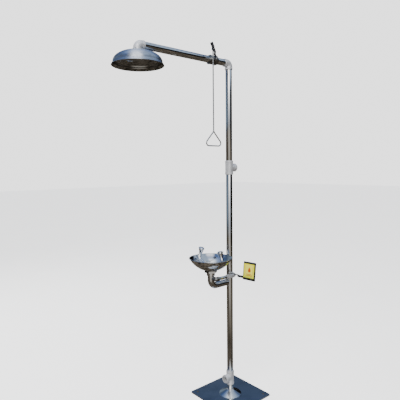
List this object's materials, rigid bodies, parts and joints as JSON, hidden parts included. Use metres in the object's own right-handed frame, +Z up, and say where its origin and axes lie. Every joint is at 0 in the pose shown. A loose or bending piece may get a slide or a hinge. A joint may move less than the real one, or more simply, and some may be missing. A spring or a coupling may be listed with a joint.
{
  "type": "emergency safety shower with eyewash",
  "caption": "Free-standing emergency shower on a pipe column with a domed shower head, pull-rod valve, eyewash bowl with nozzles, push-sign valve and square floor plate.",
  "frame": {"origin": "centre of the base plate's underside, on the column's axis", "axes": "+Z up the column; the shower arm and the eyewash bowl reach toward -Y; the push sign reaches toward +X; the water inlet faces +Y"},
  "size_m": [0.4488, 1.032, 2.3376],
  "materials": {
    "polished_pipe": "polished stainless steel pipe and bar",
    "cast_steel": "bead-blasted cast stainless steel",
    "polished_sheet": "mirror-polished stainless steel sheet",
    "chromed_brass": "bright chrome plate",
    "seat_plastic": "white fluoropolymer",
    "seal_rubber": "black rubber",
    "grip_plastic": "black dipped vinyl",
    "sign_plate": null
  },
  "bodies": {
    "stand": {"arm_nipple": "polished_pipe", "arm_pipe": "polished_pipe", "base_plate": "polished_sheet", "bowl_riser": "polished_pipe", "bowl_strainer": "polished_pipe", "column_divider": "polished_pipe", "drain_bend": "polished_pipe", "drain_tee": "cast_steel", "dust_cap_pins": "polished_pipe", "eyewash_bowl": "polished_sheet", "eyewash_valve_body": "cast_steel", "eyewash_valve_end": "cast_steel", "eyewash_valve_gland": "polished_pipe", "eyewash_valve_seats": "seat_plastic", "foot_cone": "polished_sheet", "foot_nipple": "polished_pipe", "foot_socket": "polished_pipe", "head_elbow": "cast_steel", "head_locknut": "chromed_brass", "head_nipple": "polished_pipe", "inlet_tee": "cast_steel", "lower_pipe": "polished_pipe", "nozzle_manifold": "chromed_brass", "nozzle_tubes": "chromed_brass", "shower_dome": "polished_sheet", "shower_valve_body": "cast_steel", "shower_valve_end": "cast_steel", "shower_valve_gland": "polished_pipe", "shower_valve_seats": "seat_plastic", "spray_head_left": "chromed_brass", "spray_head_right": "chromed_brass", "spreader_bolts": "polished_pipe", "spreader_disc": "polished_pipe", "supply_elbow_bowl": "cast_steel", "supply_elbow_column": "cast_steel", "supply_nipple": "polished_pipe", "supply_outlet": "polished_pipe", "supply_pipe": "polished_pipe", "top_elbow": "cast_steel", "upper_pipe": "polished_pipe", "waste_body": "chromed_brass", "waste_gasket": "seal_rubber", "waste_locknut": "chromed_brass"},
    "shower_lever_arm": {"shower_valve_ball": "polished_pipe", "shower_valve_stem": "polished_pipe", "shower_lever": "polished_pipe", "shower_lever_sleeve": "grip_plastic", "shower_lever_nut": "polished_pipe", "pull_rod_pin": "polished_pipe"},
    "pull_rod_hang": {"pull_rod": "polished_pipe", "pull_handle": "polished_pipe"},
    "push_lever_arm": {"eyewash_valve_ball": "polished_pipe", "eyewash_valve_stem": "polished_pipe", "eyewash_lever_nut": "polished_pipe", "push_lever": "polished_pipe", "push_lever_sleeve": "grip_plastic", "push_sign": "sign_plate", "push_sign_rivets": "polished_pipe"},
    "cap_left": {"dust_cap_left": "chromed_brass"},
    "cap_right": {"dust_cap_right": "chromed_brass"}
  },
  "joints": [
    {"name": "shower_valve_turn", "type": "hinge", "parent": "stand", "child": "shower_lever_arm", "pos_m": [0, -0.142, 2.243], "axis": [1, 0, 0], "range_deg": [0, 90]},
    {"name": "pull_rod_swing", "type": "hinge", "parent": "shower_lever_arm", "child": "pull_rod_hang", "pos_m": [0.0404, -0.173, 2.29669], "axis": [1, 0, 0], "range_deg": [-90, 0]},
    {"name": "eyewash_valve_turn", "type": "hinge", "parent": "stand", "child": "push_lever_arm", "pos_m": [0.048, -0.05, 0.85], "axis": [0, 0, 1], "range_deg": [0, 90]},
    {"name": "cap_left_flip", "type": "hinge", "parent": "stand", "child": "cap_left", "pos_m": [-0.10851, -0.171, 1.0389], "axis": [0, -1, 0], "range_deg": [0, 110]},
    {"name": "cap_right_flip", "type": "hinge", "parent": "stand", "child": "cap_right", "pos_m": [0.10851, -0.171, 1.0389], "axis": [0, 1, 0], "range_deg": [0, 110]}
  ],
  "couplings": [
    {"joint": "pull_rod_swing", "follows": "shower_valve_turn", "ratio": -1}
  ]
}
